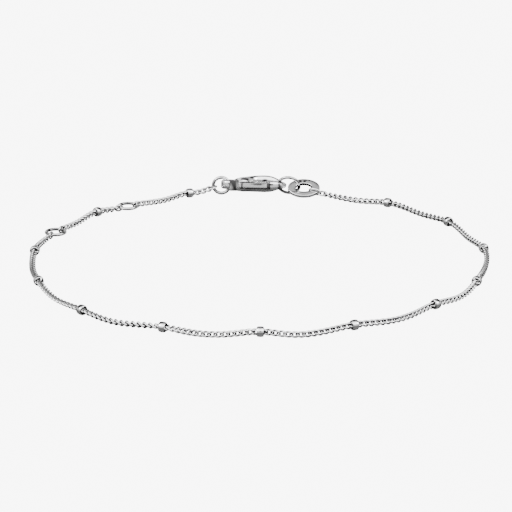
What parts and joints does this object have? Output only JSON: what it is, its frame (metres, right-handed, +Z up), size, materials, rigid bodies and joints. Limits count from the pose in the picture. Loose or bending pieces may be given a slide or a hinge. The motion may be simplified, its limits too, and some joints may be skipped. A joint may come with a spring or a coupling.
{
  "type": "chain bracelet",
  "caption": "Fine curb-chain bracelet with round beads spaced along it, flat size rings, a claw clasp and a small open oval tag.",
  "frame": {"origin": "middle of the laid-out loop's bounding box, on the surface that it lies on", "axes": "+Z up from the surface, +Y towards the clasp, +X towards the oval tag's side of the clasp"},
  "size_m": [0.0588, 0.0592, 0.0031],
  "materials": {
    "chain": "polished silver",
    "beads": "polished silver",
    "rings": "polished silver",
    "clasp": "polished silver",
    "tag": "polished silver"
  },
  "bodies": {
    "bracelet": {"chain_1": "chain", "chain_2": "chain", "chain_3": "chain", "end_link_1": "chain", "end_link_2": "chain", "end_link_3": "chain", "end_link_4": "chain", "end_link_5": "chain", "end_link_6": "chain", "bead_01": "beads", "bead_02": "beads", "bead_03": "beads", "bead_04": "beads", "bead_05": "beads", "bead_06": "beads", "bead_07": "beads", "bead_08": "beads", "bead_09": "beads", "bead_10": "beads", "bead_11": "beads", "bead_12": "beads", "bead_13": "beads", "clasp_ring": "rings", "tag_ring": "rings", "tag_link": "rings", "size_ring_1": "rings", "size_ring_2": "rings", "clasp_body": "clasp", "clasp_rivet": "clasp", "oval_tag": "tag"},
    "lever": {"clasp_lever": "clasp"}
  },
  "joints": [
    {"name": "lever_hinge", "type": "hinge", "parent": "bracelet", "child": "lever", "pos_m": [-0.00275, 0.02683, 0.0017], "axis": [0.0171, 0.2079, 0.978], "range_deg": [0, 24], "stiffness_Nm_per_rad": 0.00002}
  ]
}
